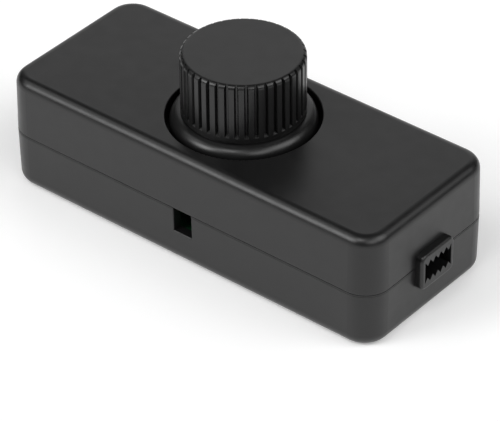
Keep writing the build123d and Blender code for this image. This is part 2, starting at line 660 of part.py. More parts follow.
def build_pot_terminals():
    """Three riveted solder tags, bent down into the circuit board."""
    with BuildPart() as pot_terminals:
        with BuildSketch(Plane.XY.offset(WAFER_BOTTOM - TAG_THICKNESS)):
            with Locations(*[(x, WAFER_REACH + TAG_THICKNESS) for x in TAG_XS]):
                Rectangle(2 * RIVET_RADIUS, TAG_LENGTH + TAG_THICKNESS, align=(Align.CENTER, Align.MAX))
        extrude(amount=TAG_THICKNESS)
        with BuildSketch(Plane.XY.offset(BOARD_BOTTOM - LEAD_STUB)):
            with Locations(*TAG_PINS):
                Rectangle(TAG_WIDTH, TAG_THICKNESS)
        extrude(amount=WAFER_BOTTOM - BOARD_BOTTOM + LEAD_STUB)
        with BuildSketch(Plane.XY.offset(WAFER_BOTTOM)):
            with Locations(*[(x, WAFER_REACH - TAG_LENGTH / 2) for x in TAG_XS]):
                Circle(RIVET_RADIUS)
        extrude(amount=WAFER_THICKNESS)
    return pot_terminals


def carrier_angle():
    """Direction of the wiper carrier's lug at the counter-clockwise stop (degrees)."""
    return 90 + TRAVEL / 2


def build_wiper_carrier():
    """Moulded carrier riveted on the shaft, with the lug that meets the stop."""
    lug_angle = 180 - TRAVEL / 2 - STOP_ANGLE - STOP_GAP
    with BuildPart() as wiper_carrier:
        with BuildSketch(Plane.XY.offset(CARRIER_BOTTOM)):
            Circle(CARRIER_RADIUS)
        extrude(amount=CARRIER_THICKNESS)
        with BuildSketch(Plane.XY.offset(CARRIER_BOTTOM)):
            add(ring_sector(CARRIER_RADIUS - POT_SHEET, LUG_REACH, carrier_angle(), lug_angle))
        extrude(amount=CARRIER_THICKNESS)
        with BuildSketch(Plane.XY.offset(CARRIER_BOTTOM)):
            Circle(SPIGOT_RADIUS + HUB_FIT)
        extrude(amount=CARRIER_THICKNESS, mode=Mode.SUBTRACT)
    return wiper_carrier


def build_wiper_contact():
    """Spring contact ring on the carrier, with one finger that rises to the track."""
    tip = WAFER_BOTTOM - CONTACT_GAP
    with BuildPart() as wiper_contact:
        with BuildSketch(Plane.XY.offset(CARRIER_TOP)):
            Circle(CONTACT_RADIUS + CONTACT_WIDTH / 2)
            Circle(CONTACT_RADIUS - CONTACT_WIDTH / 2, mode=Mode.SUBTRACT)
        extrude(amount=CONTACT_THICKNESS)
        with BuildSketch(Plane.XZ.offset(CONTACT_RADIUS - CONTACT_WIDTH / 2)):
            with BuildLine():
                Polyline(
                    (0, CARRIER_TOP),
                    (FINGER_LENGTH, tip - CONTACT_THICKNESS),
                    (FINGER_LENGTH, tip),
                    (FINGER_LENGTH / 2, tip),
                    (0, CARRIER_TOP + CONTACT_THICKNESS),
                    close=True,
                )
            make_face()
        extrude(amount=CONTACT_WIDTH)
    return wiper_contact


def build_pot_washer():
    """Flat washer on the recess floor."""
    with BuildPart() as pot_washer:
        with BuildSketch(Plane.XY.offset(RECESS_LEVEL)):
            Circle(WASHER_RADIUS)
            Circle(BUSH_RADIUS + BUSH_HOLE_GAP, mode=Mode.SUBTRACT)
        extrude(amount=WASHER_THICKNESS)
    return pot_washer


def hexagon_nut(bottom, across_flats, height, hole_radius):
    """Hexagon nut with its corners chamfered at both ends, standing on the level bottom."""
    corner = across_flats / math.sqrt(3)
    with BuildPart() as barrel:
        with BuildSketch(Plane.XY.offset(bottom)):
            Circle(corner)
        extrude(amount=height)
        chamfer(barrel.edges().filter_by(GeomType.CIRCLE), NUT_CHAMFER)
    with BuildPart() as nut:
        with BuildSketch(Plane.XY.offset(bottom)):
            RegularPolygon(corner, 6)
        extrude(amount=height)
        add(barrel.part, mode=Mode.INTERSECT)
        with BuildSketch(Plane.XY.offset(bottom)):
            Circle(hole_radius)
        extrude(amount=height, mode=Mode.SUBTRACT)
    return nut


def build_pot_nut():
    """Nut that clamps the potentiometer under the recess floor."""
    return hexagon_nut(NUT_BOTTOM, NUT_ACROSS_FLATS, NUT_HEIGHT, BUSH_RADIUS + THREAD_GAP)


def build_case_screw():
    """Self-tapping case screw on the Z axis, head down and in its pocket."""
    head_bottom = SCREW_SEAT_LEVEL - SCREW_HEAD_HEIGHT
    tip = SCREW_SEAT_LEVEL + SCREW_LENGTH
    with BuildPart() as screw:
        with BuildSketch(Plane.XY.offset(head_bottom)):
            Circle(SCREW_HEAD_RADIUS)
        extrude(amount=SCREW_HEAD_HEIGHT)
        fillet(screw.edges().group_by(Axis.Z)[0], SCREW_HEAD_ROUND)
        with BuildSketch(Plane.XY.offset(SCREW_SEAT_LEVEL)):
            Circle(SCREW_RADIUS)
        extrude(amount=SCREW_LENGTH - SCREW_TIP)
        with BuildSketch(Plane.XY.offset(tip - SCREW_TIP)):
            Circle(SCREW_RADIUS)
        with BuildSketch(Plane.XY.offset(tip)):
            Circle(SCREW_TIP_RADIUS)
        loft()
        # Cross recess in the head
        with BuildSketch(Plane.XY.offset(head_bottom)):
            Rectangle(CROSS_SPAN, CROSS_WIDTH)
            Rectangle(CROSS_WIDTH, CROSS_SPAN)
        extrude(amount=CROSS_DEPTH, mode=Mode.SUBTRACT)
    return screw.part


def build_case_screws():
    """The four case screws."""
    screw = build_case_screw()
    with BuildPart() as case_screws:
        with Locations(*POST_PLACES):
            add(screw)
    return case_screws


def build_circuit_board():
    """Circuit board between the corner posts, drilled for every lead."""
    notch_x = POST_X - POST_RADIUS - BOARD_GAP
    notch_y = POST_Y - POST_RADIUS - BOARD_GAP
    round_leads = (
        FUSE_LEADS + CHOKE_LEADS + SUPPRESSOR_LEADS + TIMING_LEADS + TRIAC_LEADS
        + SINK_FEET + RESISTOR_LEADS + DIAC_LEADS + TERMINAL_PINS
    )
    with BuildPart() as circuit_board:
        with BuildSketch(Plane.XY.offset(BOARD_BOTTOM)):
            Rectangle(BOARD_LENGTH, 2 * notch_y)
            Rectangle(2 * notch_x, BOARD_WIDTH)
            with Locations(*round_leads):
                Circle(LEAD_RADIUS + LEAD_GAP, mode=Mode.SUBTRACT)
            with Locations(*TAG_PINS):
                Rectangle(TAG_WIDTH + 2 * LEAD_GAP, TAG_THICKNESS + 2 * LEAD_GAP, mode=Mode.SUBTRACT)
            with Locations(*BOARD_SCREW_PLACES):
                Circle(BOARD_SCREW_RADIUS + SCREW_GAP, mode=Mode.SUBTRACT)
        extrude(amount=BOARD_THICKNESS)
    return circuit_board


def build_board_screws():
    """Two screws that hold the board on its standoffs."""
    with BuildPart() as board_screws:
        with BuildSketch(Plane.XY.offset(BOARD_BOTTOM - BOARD_SCREW_BITE)):
            with Locations(*BOARD_SCREW_PLACES):
                Circle(BOARD_SCREW_RADIUS)
        extrude(amount=BOARD_SCREW_BITE + BOARD_THICKNESS)
        with BuildSketch(Plane.XY.offset(BOARD_TOP)):
            with Locations(*BOARD_SCREW_PLACES):
                Circle(BOARD_SCREW_HEAD_RADIUS)
        extrude(amount=BOARD_SCREW_HEAD_HEIGHT)
        with BuildSketch(Plane.XY.offset(BOARD_TOP + BOARD_SCREW_HEAD_HEIGHT)):
            with Locations(*BOARD_SCREW_PLACES):
                Rectangle(2 * BOARD_SCREW_HEAD_RADIUS, CROSS_WIDTH)
        extrude(amount=-BOARD_SCREW_HEAD_HEIGHT / 2, mode=Mode.SUBTRACT)
    return board_screws


def leads(places, top):
    """Round leads from a part's underside down through the board."""
    with BuildPart() as wires:
        with BuildSketch(Plane.XY.offset(BOARD_BOTTOM - LEAD_STUB)):
            with Locations(*places):
                Circle(LEAD_RADIUS)
        extrude(amount=top - BOARD_BOTTOM + LEAD_STUB)
    return wires.part


def build_terminal_block(end):
    """Moulded body of the two-pole terminal block at one end (-1 or 1), mouths outwards."""
    mouth = end * (TERMINAL_X + TERMINAL_DEPTH / 2)
    poles = [(end * TERMINAL_X, side * TERMINAL_PITCH / 2) for side in (-1, 1)]
    channel_depth = (TERMINAL_DEPTH + CLAMP_DEPTH) / 2 + CLAMP_GAP
    with BuildPart() as terminal_block:
        with BuildSketch(Plane.XY.offset(BOARD_TOP)):
            with Locations((end * TERMINAL_X, 0)):
                Rectangle(TERMINAL_DEPTH, 2 * TERMINAL_PITCH)
        extrude(amount=TERMINAL_HEIGHT)
        top_edges = terminal_block.faces().sort_by(Axis.Z)[-1].edges().filter_by(Axis.Y)
        chamfer(top_edges, TERMINAL_CHAMFER)
        with BuildSketch(Plane.XY.offset(CLAMP_BOTTOM)):
            with Locations(*[(mouth - end * channel_depth / 2, y) for x, y in poles]):
                Rectangle(channel_depth, CLAMP_WIDTH + 2 * CLAMP_GAP)
        extrude(amount=CLAMP_HEIGHT + CLAMP_GAP, mode=Mode.SUBTRACT)
        with BuildSketch(Plane.XY.offset(CLAMP_TOP)):
            with Locations(*poles):
                Circle(CLAMP_HEAD_RADIUS + CLAMP_HEAD_GAP)
        extrude(amount=TERMINAL_HEIGHT, mode=Mode.SUBTRACT)
        with BuildSketch(Plane.XY.offset(BOARD_TOP)):
            with Locations(*poles):
                Circle(LEAD_RADIUS + LEAD_GAP)
        extrude(amount=CLAMP_FLOOR, mode=Mode.SUBTRACT)
    return terminal_block


def build_terminal_clamps():
    """Four metal clamps, each a square tube for the wire with a screw hole and a pin."""
    with BuildPart() as terminal_clamps:
        with BuildSketch(Plane.XY.offset(CLAMP_BOTTOM)):
            with Locations(*TERMINAL_PINS):
                Rectangle(CLAMP_DEPTH, CLAMP_WIDTH)
        extrude(amount=CLAMP_HEIGHT)
        with BuildSketch(Plane.XY.offset(CLAMP_BOTTOM + CLAMP_WALL)):
            with Locations(*TERMINAL_PINS):
                Rectangle(CLAMP_DEPTH, CLAMP_WIDTH - 2 * CLAMP_WALL)
        extrude(amount=CLAMP_HEIGHT - 2 * CLAMP_WALL, mode=Mode.SUBTRACT)
        with BuildSketch(Plane.XY.offset(CLAMP_TOP - CLAMP_WALL)):
            with Locations(*TERMINAL_PINS):
                Circle(CLAMP_SCREW_RADIUS + THREAD_GAP)
        extrude(amount=CLAMP_WALL, mode=Mode.SUBTRACT)
        add(leads(TERMINAL_PINS, CLAMP_BOTTOM))
    return terminal_clamps


def build_terminal_screws():
    """Four slotted screws that press the wires in the clamps."""
    head = CLAMP_TOP + CLAMP_HEAD_GAP
    with BuildPart() as terminal_screws:
        with BuildSketch(Plane.XY.offset(head - CLAMP_SCREW_LENGTH)):
            with Locations(*TERMINAL_PINS):
                Circle(CLAMP_SCREW_RADIUS)
        extrude(amount=CLAMP_SCREW_LENGTH)
        with BuildSketch(Plane.XY.offset(head)):
            with Locations(*TERMINAL_PINS):
                Circle(CLAMP_HEAD_RADIUS)
        extrude(amount=CLAMP_HEAD_HEIGHT)
        with BuildSketch(Plane.XY.offset(head + CLAMP_HEAD_HEIGHT)):
            with Locations(*TERMINAL_PINS):
                Rectangle(2 * CLAMP_HEAD_RADIUS, CLAMP_SLOT)
        extrude(amount=-CLAMP_HEAD_HEIGHT / 2, mode=Mode.SUBTRACT)
    return terminal_screws


def build_heat_sink():
    """Upright aluminium plate that cools the triac, on two feet."""
    with BuildPart() as heat_sink:
        with BuildSketch(Plane.XY.offset(BOARD_TOP)):
            with Locations((SINK_X, SINK_Y)):
                Rectangle(SINK_THICKNESS, SINK_WIDTH)
        extrude(amount=SINK_HEIGHT)
        chamfer(heat_sink.faces().sort_by(Axis.Z)[-1].edges().filter_by(Axis.X), SINK_CHAMFER)
        with BuildSketch(Plane.YZ.offset(SINK_X)):
            with Locations((SINK_Y, TRIAC_HOLE_LEVEL)):
                Circle(TRIAC_SCREW_RADIUS + SCREW_GAP)
        extrude(amount=SINK_THICKNESS, both=True, mode=Mode.SUBTRACT)
        add(leads(SINK_FEET, BOARD_TOP))
    return heat_sink


def build_triac():
    """Triac: moulded body with three leads."""
    with BuildPart() as triac:
        with BuildSketch(Plane.XY.offset(TRIAC_BOTTOM)):
            with Locations((TRIAC_X, SINK_Y)):
                Rectangle(TRIAC_THICKNESS, TRIAC_WIDTH)
        extrude(amount=TRIAC_HEIGHT)
        front_top = triac.faces().sort_by(Axis.X)[-1].edges().sort_by(Axis.Z)[-1]
        chamfer(front_top, TRIAC_CHAMFER)
        with BuildSketch(Plane.YZ.offset(TRIAC_X)):
            with Locations((SINK_Y, TRIAC_HOLE_LEVEL)):
                Circle(TRIAC_SCREW_RADIUS + SCREW_GAP)
        extrude(amount=TRIAC_THICKNESS, both=True, mode=Mode.SUBTRACT)
        add(leads(TRIAC_LEADS, TRIAC_BOTTOM))
    return triac


def build_triac_screw():
    """Screw through triac and plate."""
    head = TRIAC_X + TRIAC_THICKNESS / 2
    with BuildPart() as triac_screw:
        with BuildSketch(Plane.YZ.offset(head)):
            with Locations((SINK_Y, TRIAC_HOLE_LEVEL)):
                Circle(TRIAC_SCREW_HEAD_RADIUS)
        extrude(amount=TRIAC_SCREW_HEAD_HEIGHT)
        with BuildSketch(Plane.YZ.offset(head)):
            with Locations((SINK_Y, TRIAC_HOLE_LEVEL)):
                Circle(TRIAC_SCREW_RADIUS)
        extrude(amount=-TRIAC_THICKNESS - SINK_THICKNESS - TRIAC_NUT_HEIGHT - TRIAC_SCREW_END)
        with BuildSketch(Plane.YZ.offset(head + TRIAC_SCREW_HEAD_HEIGHT)):
            with Locations((SINK_Y, TRIAC_HOLE_LEVEL)):
                Rectangle(2 * TRIAC_SCREW_HEAD_RADIUS, CLAMP_SLOT)
        extrude(amount=-TRIAC_SCREW_HEAD_HEIGHT / 2, mode=Mode.SUBTRACT)
    return triac_screw


def build_triac_nut():
    """Nut behind the cooling plate."""
    with BuildPart() as triac_nut:
        with BuildSketch(Plane.YZ.offset(SINK_X - SINK_THICKNESS / 2)):
            with Locations((SINK_Y, TRIAC_HOLE_LEVEL)):
                RegularPolygon(TRIAC_NUT_ACROSS_FLATS / math.sqrt(3), 6)
                Circle(TRIAC_SCREW_RADIUS + THREAD_GAP, mode=Mode.SUBTRACT)
        extrude(amount=-TRIAC_NUT_HEIGHT)
    return triac_nut


def build_fuse():
    """Round plug-in fuse."""
    with BuildPart() as fuse:
        with BuildSketch(Plane.XY.offset(BOARD_TOP)):
            with Locations((FUSE_X, FUSE_Y)):
                Circle(FUSE_RADIUS)
        extrude(amount=FUSE_HEIGHT)
        fillet(fuse.faces().sort_by(Axis.Z)[-1].edges(), FUSE_ROUND)
        add(leads(FUSE_LEADS, BOARD_TOP))
    return fuse


def build_choke_core():
    """Ferrite drum core, on the two legs that take the winding's ends."""
    with BuildPart() as choke_core:
        with BuildSketch(Plane.XY.offset(BOARD_TOP)):
            with Locations((CHOKE_X, CHOKE_Y)):
                Circle(CHOKE_RADIUS)
        extrude(amount=CHOKE_HEIGHT)
        with BuildSketch(Plane.XY.offset(BOARD_TOP + CHOKE_FLANGE)):
            with Locations((CHOKE_X, CHOKE_Y)):
                Circle(CHOKE_RADIUS)
                Circle(CHOKE_CORE_RADIUS, mode=Mode.SUBTRACT)
        extrude(amount=CHOKE_HEIGHT - 2 * CHOKE_FLANGE, mode=Mode.SUBTRACT)
        add(leads(CHOKE_LEADS, BOARD_TOP))
    return choke_core


def build_choke_winding():
    """Wire wound between the flanges of the drum core."""
    with BuildPart() as choke_winding:
        with BuildSketch(Plane.XY.offset(BOARD_TOP + CHOKE_FLANGE)):
            with Locations((CHOKE_X, CHOKE_Y)):
                Circle(WINDING_RADIUS)
                Circle(CHOKE_CORE_RADIUS + THREAD_GAP, mode=Mode.SUBTRACT)
        extrude(amount=CHOKE_HEIGHT - 2 * CHOKE_FLANGE)
    return choke_winding


def build_box_capacitor(place, size, lead_places):
    """Moulded box capacitor standing on the board."""
    with BuildPart() as capacitor:
        with BuildSketch(Plane.XY.offset(BOARD_TOP)):
            with Locations(place):
                Rectangle(size[0], size[1])
        extrude(amount=size[2])
        fillet(capacitor.faces().sort_by(Axis.Z)[-1].edges(), CAPACITOR_ROUND)
        add(leads(lead_places, BOARD_TOP))
    return capacitor


def axial_part(row, radius, length, lead_places):
    """Lying round part along X, its leads bent down into the board."""
    axis_height = BOARD_TOP + radius
    span = abs(lead_places[0][0]) + LEAD_RADIUS
    with BuildPart() as component:
        with BuildSketch(Plane.YZ):
            with Locations((row, axis_height)):
                Circle(radius)
        extrude(amount=length / 2, both=True)
        with BuildSketch(Plane.YZ):
            with Locations((row, axis_height)):
                Circle(LEAD_RADIUS)
        extrude(amount=span, both=True)
        add(leads(lead_places, axis_height))
    return component


def build_resistors():
    """Two resistors lying side by side."""
    with BuildPart() as resistors:
        for row in RESISTOR_ROWS:
            places = [place for place in RESISTOR_LEADS if place[1] == row]
            add(axial_part(row, RESISTOR_RADIUS, RESISTOR_LENGTH, places).part)
    return resistors


def build_diac():
    """Small glass diac."""
    return axial_part(DIAC_Y, DIAC_RADIUS, DIAC_LENGTH, DIAC_LEADS)


def build_suppression_capacitor():
    """Large box capacitor across the supply."""
    return build_box_capacitor((SUPPRESSOR_X, SUPPRESSOR_Y), SUPPRESSOR_SIZE, SUPPRESSOR_LEADS)


def build_timing_capacitor():
    """Small box capacitor that sets the firing angle."""
    return build_box_capacitor((TIMING_X, TIMING_Y), TIMING_SIZE, TIMING_LEADS)


os.makedirs("parts", exist_ok=True)
PIECES = {
    "bottom_shell": build_bottom_shell(),
    "top_shell": build_top_shell(),
    "case_screws": build_case_screws(),
    "knob": build_knob(),
    "pot_shaft": build_pot_shaft(),
    "shaft_clip": build_shaft_clip(),
    "wiper_carrier": build_wiper_carrier(),
    "wiper_contact": build_wiper_contact(),
    "pot_bush": build_pot_bush(),
    "pot_case": build_pot_case(),
    "pot_wafer": build_pot_wafer(),
    "pot_terminals": build_pot_terminals(),
    "pot_washer": build_pot_washer(),
    "pot_nut": build_pot_nut(),
    "circuit_board": build_circuit_board(),
    "board_screws": build_board_screws(),
    "input_terminal_block": build_terminal_block(-1),
    "output_terminal_block": build_terminal_block(1),
    "terminal_clamps": build_terminal_clamps(),
    "terminal_screws": build_terminal_screws(),
    "heat_sink": build_heat_sink(),
    "triac": build_triac(),
    "triac_screw": build_triac_screw(),
    "triac_nut": build_triac_nut(),
    "fuse": build_fuse(),
    "choke_core": build_choke_core(),
    "choke_winding": build_choke_winding(),
    "suppression_capacitor": build_suppression_capacitor(),
    "timing_capacitor": build_timing_capacitor(),
    "resistors": build_resistors(),
    "diac": build_diac(),
}
for node, piece in PIECES.items():
    piece.part.label = node
    export_step(piece.part, f"parts/{node}.step")
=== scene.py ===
"""Looks of the rotary cord dimmer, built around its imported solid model.

The solid model gives every piece its size and place. This script gives each piece its finish, adds
the fine forms that the solids leave out, and sets the dimmer on a pale floor under soft light.
"""

import json
import logging
import math
from dataclasses import dataclass
from enum import Enum

import bpy
from mathutils import Matrix, Vector


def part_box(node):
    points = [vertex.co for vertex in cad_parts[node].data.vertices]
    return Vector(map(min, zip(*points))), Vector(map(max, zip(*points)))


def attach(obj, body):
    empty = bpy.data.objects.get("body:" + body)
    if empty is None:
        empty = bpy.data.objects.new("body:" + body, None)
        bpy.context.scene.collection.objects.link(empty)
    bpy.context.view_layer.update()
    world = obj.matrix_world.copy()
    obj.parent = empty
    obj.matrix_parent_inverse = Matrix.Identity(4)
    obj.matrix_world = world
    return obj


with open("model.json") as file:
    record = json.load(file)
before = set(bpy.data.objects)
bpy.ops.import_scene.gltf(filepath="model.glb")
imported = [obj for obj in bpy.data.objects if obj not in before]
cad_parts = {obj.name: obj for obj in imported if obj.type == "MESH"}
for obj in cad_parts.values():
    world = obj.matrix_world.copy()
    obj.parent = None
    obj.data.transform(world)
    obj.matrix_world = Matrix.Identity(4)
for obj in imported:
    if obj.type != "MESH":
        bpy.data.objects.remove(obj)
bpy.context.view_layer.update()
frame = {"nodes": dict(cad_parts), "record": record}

LOG = logging.getLogger("cord_dimmer")
MM = 0.001
HOUSING = "housing"
TURNING_KNOB = "turning_knob"


class Direction(Enum):
    """Way in which the streaks of a worked metal run."""

    ALONG_X = (0.04, 1.0, 1.0)
    ALONG_Z = (1.0, 1.0, 0.04)
    NONE = (1.0, 1.0, 1.0)


class MaterialSheet:
    """Node tree of one material, with short ways to add and join its nodes."""

    def __init__(self, name: str) -> None:
        """Start an empty material around one Principled shader.

        Args:
            name: Name of the material.
        """
        self.material = bpy.data.materials.new(name)
        self.material.use_nodes = True
        self.tree = self.material.node_tree
        self.tree.nodes.clear()
        self.output = self.tree.nodes.new("ShaderNodeOutputMaterial")
        self.shader = self.tree.nodes.new("ShaderNodeBsdfPrincipled")
        self.join(self.shader.outputs["BSDF"], self.output.inputs["Surface"])
        self.place = self.tree.nodes.new("ShaderNodeTexCoord").outputs["Object"]

    def join(self, source: bpy.types.NodeSocket, target: bpy.types.NodeSocket) -> None:
        """Link one socket to another."""
        self.tree.links.new(source, target)

    def set(self, **values: float | tuple[float, ...]) -> None:
        """Set sockets of the shader.

        Args:
            values: Socket names, with underscores for spaces, and their values.
        """
        for name, value in values.items():
            self.shader.inputs[name.replace("_", " ")].default_value = value

    def stretched(self, factors: tuple[float, float, float]) -> bpy.types.NodeSocket:
        """Object coordinates multiplied along each axis.

        Args:
            factors: One factor for each axis.

        Returns:
            The socket with the scaled coordinates.
        """
        mapping = self.tree.nodes.new("ShaderNodeMapping")
        mapping.inputs["Scale"].default_value = factors
        self.join(self.place, mapping.inputs["Vector"])
        return mapping.outputs["Vector"]

    def noise(
        self, size: float, detail: float = 2.0, vector: bpy.types.NodeSocket | None = None
    ) -> bpy.types.NodeSocket:
        """Soft random pattern.

        Args:
            size: Width of one blotch in metres.
            detail: Number of finer octaves.
            vector: Coordinates to read, or the object's own.

        Returns:
            The socket with values from 0 to 1.
        """
        node = self.tree.nodes.new("ShaderNodeTexNoise")
        node.inputs["Scale"].default_value = 1.0 / size
        node.inputs["Detail"].default_value = detail
        self.join(vector or self.place, node.inputs["Vector"])
        return node.outputs["Fac"]

    def spread(self, source: bpy.types.NodeSocket, low: float, high: float) -> bpy.types.NodeSocket:
        """Map a pattern to the range from low to high.

        Args:
            source: Pattern from 0 to 1, with most of its values near the middle.
            low: Value at the pattern's dark end.
            high: Value at the pattern's bright end.

        Returns:
            The socket with the mapped value.
        """
        node = self.tree.nodes.new("ShaderNodeMapRange")
        node.inputs["From Min"].default_value = 0.3
        node.inputs["From Max"].default_value = 0.7
        node.inputs["To Min"].default_value = low
        node.inputs["To Max"].default_value = high
        self.join(source, node.inputs["Value"])
        return node.outputs["Result"]

    def blend(
        self,
        factor: bpy.types.NodeSocket,
        first: tuple[float, float, float] | bpy.types.NodeSocket,
        second: tuple[float, float, float] | bpy.types.NodeSocket,
    ) -> bpy.types.NodeSocket:
        """Mix two colours by a pattern.

        Args:
            factor: Share of the second colour.
            first: Linear colour or socket.
            second: Linear colour or socket.

        Returns:
            The socket with the mixed colour.
        """
        node = self.tree.nodes.new("ShaderNodeMix")
        node.data_type = "RGBA"
        for name, value in (("A", first), ("B", second)):
            socket = next(s for s in node.inputs if s.name == name and s.type == "RGBA")
            if isinstance(value, tuple):
                socket.default_value = (*value, 1.0)
            else:
                self.join(value, socket)
        self.join(factor, node.inputs["Factor"])
        return next(s for s in node.outputs if s.type == "RGBA")

    def grain(self, size: float, depth: float, vector: bpy.types.NodeSocket | None = None) -> None:
        """Give the shader a fine random bump.

        Args:
            size: Width of one grain in metres.
            depth: Height of the grain in metres.
            vector: Coordinates to read, or the object's own.
        """
        bump = self.tree.nodes.new("ShaderNodeBump")
        bump.inputs["Strength"].default_value = 1.0
        bump.inputs["Distance"].default_value = depth
        self.join(self.noise(size, 1.0, vector), bump.inputs["Height"])
        self.join(bump.outputs["Normal"], self.shader.inputs["Normal"])


@dataclass(frozen=True)
class MouldedPlastic:
    """Injection-moulded plastic with the mould's fine spark-eroded grain."""

    name: str
    colour: tuple[float, float, float]
    roughness: float = 0.36
    mottle: float = 0.12
    polish_drift: float = 0.03
    flow_size: float = 9.0 * MM
    polish_size: float = 3.0 * MM
    grain_size: float = 0.16 * MM
    grain_depth: float = 0.004 * MM
    refraction: float = 1.5

    def material(self) -> bpy.types.Material:
        """Build the material.

        Returns:
            Plastic whose tone and gloss drift a little, as the melt and the mould leave them.
        """
        sheet = MaterialSheet(self.name)
        flow = sheet.noise(self.flow_size, 3.0)
        dark = tuple(c * (1.0 - self.mottle) for c in self.colour)
        light = tuple(c * (1.0 + self.mottle) for c in self.colour)
        sheet.join(sheet.blend(flow, dark, light), sheet.shader.inputs["Base Color"])
        smoothest, dullest = self.roughness - self.polish_drift, self.roughness + self.polish_drift
        polish = sheet.spread(sheet.noise(self.polish_size), smoothest, dullest)
        sheet.join(polish, sheet.shader.inputs["Roughness"])
        sheet.set(IOR=self.refraction)
        sheet.grain(self.grain_size, self.grain_depth)
        return sheet.material


@dataclass(frozen=True)
class WorkedMetal:
    """Plated, turned or rolled metal with faint streaks from its making."""

    name: str
    colour: tuple[float, float, float]
    roughness: float = 0.25
    streaks: Direction = Direction.NONE
    streak_size: float = 0.12 * MM
    streak_depth: float = 0.002 * MM
    bloom: float = 0.08
    bloom_size: float = 2.0 * MM
    smoothest: float = 0.8
    dullest: float = 1.25

    def material(self) -> bpy.types.Material:
        """Build the material.

        Returns:
            Metal with drifting tone, uneven polish and fine streaks.
        """
        sheet = MaterialSheet(self.name)
        sheet.set(Metallic=1.0)
        dull = tuple(c * (1.0 - self.bloom) for c in self.colour)
        bloom = sheet.blend(sheet.noise(self.bloom_size, 3.0), dull, self.colour)
        sheet.join(bloom, sheet.shader.inputs["Base Color"])
        along = sheet.stretched(self.streaks.value)
        streaks = sheet.noise(self.streak_size, 2.0, along)
        polish = sheet.spread(streaks, self.roughness * self.smoothest, self.roughness * self.dullest)
        sheet.join(polish, sheet.shader.inputs["Roughness"])
        sheet.grain(self.streak_size, self.streak_depth, along)
        return sheet.material


FINISHES: dict[str, MouldedPlastic | WorkedMetal] = {
    "case_black": MouldedPlastic("case_black", (0.0055, 0.0055, 0.0056)),
    "knob_black": MouldedPlastic("knob_black", (0.006, 0.006, 0.0061), 0.33),
    "steel": WorkedMetal("steel", (0.72, 0.72, 0.71), 0.2),
    "zinc": WorkedMetal("zinc", (0.6, 0.6, 0.6), 0.35, Direction.ALONG_Z),
    "brass": WorkedMetal("brass", (0.72, 0.56, 0.3), 0.24),
    "board_green": MouldedPlastic("board_green", (0.02, 0.12, 0.05), 0.3),
    "phenolic": MouldedPlastic("phenolic", (0.28, 0.15, 0.06), 0.5),
    "carrier_white": MouldedPlastic("carrier_white", (0.62, 0.61, 0.55), 0.45),
    "terminal_grey": MouldedPlastic("terminal_grey", (0.18, 0.22, 0.25), 0.45),
    "aluminium": WorkedMetal("aluminium", (0.78, 0.78, 0.79), 0.35, Direction.ALONG_Z),
    "component_black": MouldedPlastic("component_black", (0.014, 0.014, 0.014), 0.5),
    "fuse_brown": MouldedPlastic("fuse_brown", (0.09, 0.035, 0.02), 0.35),
    "ferrite": MouldedPlastic("ferrite", (0.035, 0.034, 0.033), 0.6),
    "winding_copper": WorkedMetal("winding_copper", (0.72, 0.3, 0.12), 0.25),
    "capacitor_yellow": MouldedPlastic("capacitor_yellow", (0.68, 0.45, 0.05), 0.35),
    "resistor_tan": MouldedPlastic("resistor_tan", (0.52, 0.37, 0.22), 0.4),
    "glass_blue": MouldedPlastic("glass_blue", (0.07, 0.16, 0.4), 0.15),
}


class FinishStore:
    """Builds each finish once, when it is first asked for."""

    def __init__(self) -> None:
        """Start with nothing built."""
        self.built: dict[str, bpy.types.Material] = {}

    def get(self, slot: str) -> bpy.types.Material:
        """Give the material of a slot.

        Args:
            slot: Slot name in the record.

        Returns:
            The slot's material.
        """
        if slot not in self.built:
            self.built[slot] = FINISHES[slot].material()
        return self.built[slot]

    def dress_node(self, node: str) -> None:
        """Give a CAD node the finish of its slot.

        Args:
            node: Name of the CAD node.
        """
        slot = next(s["material_slot"] for s in frame["record"]["subparts"] if s["node"] == node)
        for place in frame["nodes"][node].material_slots:
            place.material = self.get(slot)


@dataclass(frozen=True)
class PhotoCamera:
    """Camera that sees the dimmer as the photograph does. Angles are in degrees, lengths in metres."""

    azimuth: float = 39.68
    elevation: float = 36.34
    roll: float = -0.61
    distance: float = 640.4 * MM
    focal_pixels: float = 3328.5
    aside: float = 1.08 * MM
    above: float = -8.39 * MM
    image_width: float = 500.0
    sensor_width: float = 36.0
    nearest: float = 10.0 * MM

    def build(self) -> bpy.types.Object:
        """Place the camera and make it the scene's own.

        Returns:
            The camera object.
        """
        turn, lift, tilt = (math.radians(a) for a in (self.azimuth, self.elevation, self.roll))
        back = Vector((math.sin(turn) * math.cos(lift), -math.cos(turn) * math.cos(lift), math.sin(lift)))
        level = (-back).cross(Vector((0.0, 0.0, 1.0))).normalized()
        upright = level.cross(-back)
        right = level * math.cos(tilt) + upright * math.sin(tilt)
        up = upright * math.cos(tilt) - level * math.sin(tilt)
        aim = Vector((0.0, 0.0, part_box("top_shell")[1].z / 2.0))
        data = bpy.data.cameras.new("photo_camera")
        data.sensor_width = self.sensor_width
        data.lens = self.focal_pixels * self.sensor_width / self.image_width
        data.clip_start = self.nearest
        camera = bpy.data.objects.new("photo_camera", data)
        bpy.context.scene.collection.objects.link(camera)
        place = aim + back * self.distance + right * self.aside + up * self.above
        camera.matrix_world = Matrix.Translation(place) @ Matrix((right, up, back)).transposed().to_4x4()
        bpy.context.scene.camera = camera
        return camera


